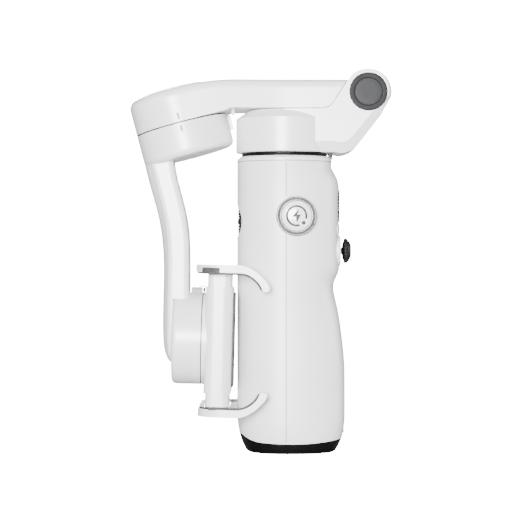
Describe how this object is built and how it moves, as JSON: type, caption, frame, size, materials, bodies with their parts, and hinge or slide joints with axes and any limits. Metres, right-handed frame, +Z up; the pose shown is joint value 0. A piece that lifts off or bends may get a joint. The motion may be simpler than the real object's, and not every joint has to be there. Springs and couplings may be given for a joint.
{
  "type": "folding three-axis phone gimbal stabilizer",
  "caption": "Folding handheld phone gimbal: grip with joystick, wheel and trigger, pan arm, fold hinge, tilt and roll motors, and a sprung phone clamp; shown folded.",
  "frame": {"origin": "mouth of the tripod thread in the flat base, on the pan axis", "axes": "+Z up along the handle and the pan axis; +X towards the thumb controls; -X towards the folded phone clamp; -Y is the side with the focus wheel"},
  "size_m": [0.1202, 0.06, 0.1759],
  "materials": {
    "white_shell": "fine satin moulded texture",
    "white_arm": "satin white glass-filled polymer",
    "white_cap": "semi-gloss white",
    "black_plastic": "matte black",
    "black_rubber": "soft matte rubber",
    "grey_rubber": "matte grey silicone",
    "grey_disc": "satin anodised grey",
    "light_disc": "satin anodised light grey",
    "chrome_ring": "polished with a fine knurl",
    "dark_window": "smoked gloss window",
    "steel": "turned steel",
    "brass": "turned brass",
    "core_steel": "laminated motor core",
    "magnet": "nickel-plated magnet ring",
    "battery_wrap": "heat-shrink sleeve",
    "board": "green solder mask",
    "nylon": "natural nylon"
  },
  "bodies": {
    "handle": {"rear_shell": "white_shell", "front_shell": "white_shell", "base_cap": "black_plastic", "base_screws": "steel", "tripod_insert": "brass", "battery_cell": "battery_wrap", "battery_tray": "black_plastic", "main_board": "board", "usb_socket": "steel", "wheel_seat": "white_shell", "joystick_bezel": "white_shell", "display_window": "dark_window", "top_collar": "white_shell", "pan_seal_ring": "black_rubber", "pan_stop_block": "black_plastic", "pan_stator": "core_steel", "pan_bearing": "steel"},
    "focus_wheel_ring": {"focus_wheel": "chrome_ring"},
    "wheel_centre": {"wheel_button": "white_cap"},
    "trigger_key": {"trigger": "black_plastic"},
    "stick_ring": {"joystick_ring": "nylon"},
    "stick": {"joystick_cap": "black_rubber"},
    "mode_key": {"mode_button": "white_cap"},
    "record_key": {"record_button": "white_cap"},
    "pan_group": {"pan_arm": "white_arm", "pan_rotor": "magnet", "pan_shaft": "steel", "hinge_pin": "steel", "hinge_cap": "grey_disc", "hinge_insert": "light_disc", "hinge_rear_cap": "grey_disc"},
    "upper_group": {"upper_arm": "white_arm", "hinge_bush": "brass", "tilt_cover": "white_shell", "tilt_stator": "core_steel", "tilt_bearing": "steel", "tilt_stop_pin": "steel"},
    "swing_group": {"swing_arm": "white_arm", "tilt_rotor": "magnet", "tilt_shaft": "steel", "roll_housing": "white_arm", "roll_stop": "white_shell", "roll_stator": "core_steel", "roll_bearing": "steel"},
    "clamp_group": {"clamp_sleeve": "white_shell", "clamp_pad": "grey_rubber", "roll_rotor": "magnet", "roll_shaft": "steel"},
    "pinion": {"jaw_pinion": "nylon"},
    "upper_jaw_set": {"upper_slider": "white_shell", "upper_jaw": "white_shell", "upper_jaw_pad": "grey_rubber"},
    "lower_jaw_set": {"lower_slider": "white_shell", "lower_jaw": "white_shell", "lower_jaw_pad": "grey_rubber"}
  },
  "joints": [
    {"name": "pan", "type": "hinge", "parent": "handle", "child": "pan_group", "pos_m": [0, 0, 0.145], "axis": [0, 0, 1], "range_deg": [-25, 25]},
    {"name": "fold", "type": "hinge", "parent": "pan_group", "child": "upper_group", "pos_m": [0.038, 0, 0.1652], "axis": [0, 1, 0], "range_deg": [0, 105]},
    {"name": "tilt", "type": "hinge", "parent": "upper_group", "child": "swing_group", "pos_m": [-0.0477, 0, 0.1513], "axis": [0.2554, 0, -0.9668], "range_deg": [-8, 8]},
    {"name": "roll", "type": "hinge", "parent": "swing_group", "child": "clamp_group", "pos_m": [-0.0381, 0, 0.0523], "axis": [0.9997, 0, -0.0262], "range_deg": [-5, 5]},
    {"name": "jaw_open", "type": "slide", "parent": "clamp_group", "child": "upper_jaw_set", "axis": [0.0262, 0, 0.9997], "range_m": [0, 0.015], "stiffness_N_per_m": 120, "springref_m": -0.02},
    {"name": "jaw_follow", "type": "slide", "parent": "clamp_group", "child": "lower_jaw_set", "axis": [-0.0262, 0, -0.9997], "range_m": [0, 0.015]},
    {"name": "pinion_spin", "type": "hinge", "parent": "clamp_group", "child": "pinion", "pos_m": [-0.0381, 0, 0.0523], "axis": [0.9997, 0, -0.0262], "range_deg": [0, 144]},
    {"name": "wheel_spin", "type": "hinge", "parent": "handle", "child": "focus_wheel_ring", "pos_m": [0.0052, -0.022, 0.1085], "axis": [0, -1, 0], "continuous": true},
    {"name": "wheel_press", "type": "slide", "parent": "handle", "child": "wheel_centre", "axis": [0, 1, 0], "range_m": [0, 0.0006], "stiffness_N_per_m": 1500},
    {"name": "trigger_pull", "type": "slide", "parent": "handle", "child": "trigger_key", "axis": [1, 0, 0], "range_m": [0, 0.0015], "stiffness_N_per_m": 900},
    {"name": "stick_pitch", "type": "hinge", "parent": "handle", "child": "stick_ring", "pos_m": [0.022, 0, 0.0928], "axis": [0, 1, 0], "range_deg": [-9, 9], "stiffness_Nm_per_rad": 0.03},
    {"name": "stick_yaw", "type": "hinge", "parent": "stick_ring", "child": "stick", "pos_m": [0.022, 0, 0.0928], "axis": [0, 0, 1], "range_deg": [-9, 9], "stiffness_Nm_per_rad": 0.03},
    {"name": "mode_press", "type": "slide", "parent": "handle", "child": "mode_key", "axis": [-1, 0, 0], "range_m": [0, 0.0005], "stiffness_N_per_m": 1500},
    {"name": "record_press", "type": "slide", "parent": "handle", "child": "record_key", "axis": [-1, 0, 0], "range_m": [0, 0.0005], "stiffness_N_per_m": 1500}
  ],
  "couplings": [
    {"joint": "jaw_follow", "follows": "jaw_open", "ratio": 1},
    {"joint": "pinion_spin", "follows": "jaw_open", "rad_per_m": 166.67}
  ]
}
